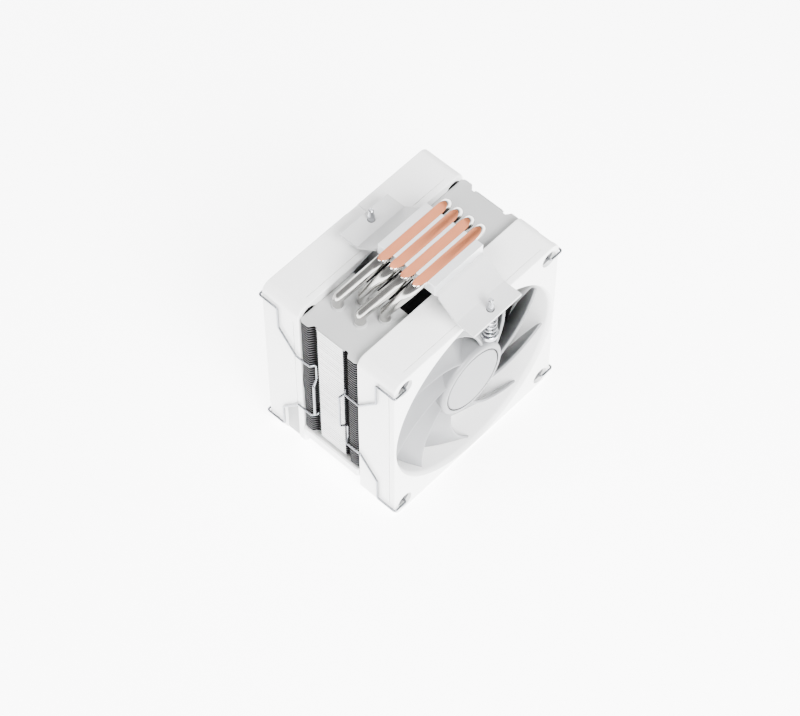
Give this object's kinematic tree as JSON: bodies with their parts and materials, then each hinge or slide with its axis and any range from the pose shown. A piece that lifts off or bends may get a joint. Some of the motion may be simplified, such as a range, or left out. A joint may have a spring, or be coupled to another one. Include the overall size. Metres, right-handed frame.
{
  "type": "cpu tower cooler",
  "caption": "White tower cooler, upside down: heat pipes run from a ground base through a fin stack between wire-clipped fans.",
  "frame": {"origin": "centre of the ground contact face", "axes": "+Z out of the contact face, away from the fins; +Y from the front fan through the fin stack to the rear fan; +X across the fans"},
  "size_m": [0.1252, 0.1034, 0.1476],
  "materials": {
    "white_plastic": "white moulded plastic, satin",
    "blade_plastic": "white moulded plastic, slightly greyer",
    "hub_disc": "light grey, satin",
    "painted_fins": "aluminium sheet with white powder coat",
    "painted_steel": "steel sheet with white powder coat",
    "aluminium": "milled aluminium",
    "nickel_copper": "copper with nickel plate, bare copper where it is ground flat",
    "steel": "zinc-plated steel",
    "wire_steel": "bright spring wire",
    "copper": "enamelled copper winding",
    "brass": "sintered bronze",
    "ferrite": "bonded ferrite",
    "lamination": "stacked electrical steel",
    "circuit_board": "glass-epoxy board"
  },
  "bodies": {
    "cooler": {"base_block": "aluminium", "heat_pipe_1": "nickel_copper", "heat_pipe_2": "nickel_copper", "heat_pipe_3": "nickel_copper", "heat_pipe_4": "nickel_copper", "fin_stack": "painted_fins", "end_cover": "white_plastic", "mounting_bridge": "painted_steel", "bridge_screw_1": "steel", "bridge_screw_2": "steel", "bridge_screw_3": "steel", "bridge_screw_4": "steel", "front_fan_frame": "white_plastic", "front_fan_bearing_sleeve": "brass", "front_fan_stator_core": "lamination", "front_fan_circuit_board": "circuit_board", "front_fan_rear_cap": "white_plastic", "front_fan_stator_coil_1": "copper", "front_fan_stator_coil_2": "copper", "front_fan_stator_coil_3": "copper", "front_fan_stator_coil_4": "copper", "front_screw_spring": "steel", "rear_fan_frame": "white_plastic", "rear_fan_bearing_sleeve": "brass", "rear_fan_stator_core": "lamination", "rear_fan_circuit_board": "circuit_board", "rear_fan_rear_cap": "white_plastic", "rear_fan_stator_coil_1": "copper", "rear_fan_stator_coil_2": "copper", "rear_fan_stator_coil_3": "copper", "rear_fan_stator_coil_4": "copper", "rear_screw_spring": "steel"},
    "front_rotor": {"front_fan_impeller": "blade_plastic", "front_fan_hub_disc": "hub_disc", "front_fan_rotor_yoke": "steel", "front_fan_magnet_ring": "ferrite", "front_fan_shaft": "steel", "front_fan_shaft_retainer": "steel"},
    "rear_rotor": {"rear_fan_impeller": "blade_plastic", "rear_fan_hub_disc": "hub_disc", "rear_fan_rotor_yoke": "steel", "rear_fan_magnet_ring": "ferrite", "rear_fan_shaft": "steel", "rear_fan_shaft_retainer": "steel"},
    "front_left_clip": {"front_left_clip": "wire_steel"},
    "front_right_clip": {"front_right_clip": "wire_steel"},
    "rear_left_clip": {"rear_left_clip": "wire_steel"},
    "rear_right_clip": {"rear_right_clip": "wire_steel"},
    "front_screw_lift": {"front_retaining_ring": "steel"},
    "front_screw": {"front_spring_screw": "steel"},
    "rear_screw_lift": {"rear_retaining_ring": "steel"},
    "rear_screw": {"rear_spring_screw": "steel"}
  },
  "joints": [
    {"name": "front_rotor_spin", "type": "hinge", "parent": "cooler", "child": "front_rotor", "pos_m": [0, -0.0323, -0.0876], "axis": [0, -1, 0], "continuous": true},
    {"name": "rear_rotor_spin", "type": "hinge", "parent": "cooler", "child": "rear_rotor", "pos_m": [0, 0.0323, -0.0876], "axis": [0, -1, 0], "continuous": true},
    {"name": "front_left_clip_swing", "type": "hinge", "parent": "cooler", "child": "front_left_clip", "pos_m": [-0.0525, -0.0323, -0.0876], "axis": [0, 0, 1], "range_deg": [0, 20], "stiffness_Nm_per_rad": 0.08},
    {"name": "front_right_clip_swing", "type": "hinge", "parent": "cooler", "child": "front_right_clip", "pos_m": [0.0525, -0.0323, -0.0876], "axis": [0, 0, -1], "range_deg": [0, 20], "stiffness_Nm_per_rad": 0.08},
    {"name": "rear_left_clip_swing", "type": "hinge", "parent": "cooler", "child": "rear_left_clip", "pos_m": [-0.0525, 0.0573, -0.0876], "axis": [0, 0, -1], "range_deg": [0, 20], "stiffness_Nm_per_rad": 0.08},
    {"name": "rear_right_clip_swing", "type": "hinge", "parent": "cooler", "child": "rear_right_clip", "pos_m": [0.0525, 0.0573, -0.0876], "axis": [0, 0, 1], "range_deg": [0, 20], "stiffness_Nm_per_rad": 0.08},
    {"name": "front_screw_travel", "type": "slide", "parent": "cooler", "child": "front_screw_lift", "axis": [0, 0, 1], "range_m": [0, 0.006], "stiffness_N_per_m": 1500, "deforming": ["front_screw_spring"]},
    {"name": "front_screw_turn", "type": "hinge", "parent": "front_screw_lift", "child": "front_screw", "pos_m": [0, -0.0395, -0.0176], "axis": [0, 0, 1], "continuous": true},
    {"name": "rear_screw_travel", "type": "slide", "parent": "cooler", "child": "rear_screw_lift", "axis": [0, 0, 1], "range_m": [0, 0.002], "stiffness_N_per_m": 3000, "deforming": ["rear_screw_spring"]},
    {"name": "rear_screw_turn", "type": "hinge", "parent": "rear_screw_lift", "child": "rear_screw", "pos_m": [0, 0.0395, -0.0176], "axis": [0, 0, 1], "continuous": true}
  ]
}
